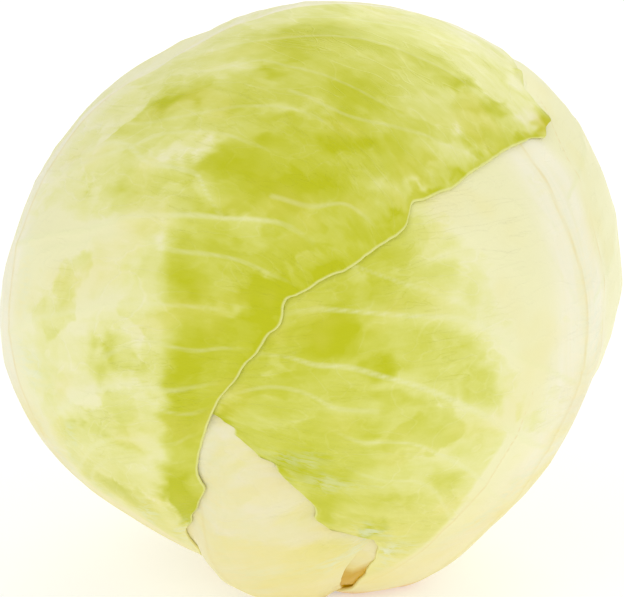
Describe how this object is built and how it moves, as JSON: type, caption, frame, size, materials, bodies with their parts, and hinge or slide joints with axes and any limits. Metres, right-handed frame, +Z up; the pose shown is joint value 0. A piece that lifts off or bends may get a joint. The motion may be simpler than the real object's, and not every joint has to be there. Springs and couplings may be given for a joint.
{
  "type": "white cabbage head",
  "caption": "Round head of white cabbage, cut flat at the stem, with a dense heart wrapped in thin overlapping ribbed leaves.",
  "frame": {"origin": "The middle of the flat cut across the stem, on the surface that the head stands on.", "axes": "+Z points up from the cut through the head. -Y is the side that the picture shows, where the outer two leaves cross, and +X is to the right there."},
  "size_m": [0.1793, 0.1743, 0.169],
  "materials": {
    "leaf_1": "waxy, satin",
    "leaf_2": "waxy, satin",
    "leaf_3": "waxy, satin",
    "leaf_4": "waxy, satin",
    "leaf_5": "waxy, satin",
    "leaf_6": "waxy, satin",
    "leaf_7": "waxy, satin",
    "leaf_8": "waxy, satin",
    "heart": "waxy, satin",
    "stem": "matt, moist, browned at the cut"
  },
  "bodies": {
    "root": {"stem": "stem", "heart": "heart", "leaf_1": "leaf_1", "leaf_2": "leaf_2", "leaf_3": "leaf_3", "leaf_4": "leaf_4", "leaf_5": "leaf_5", "leaf_6": "leaf_6", "leaf_7": "leaf_7", "leaf_8": "leaf_8"}
  },
  "joints": []
}
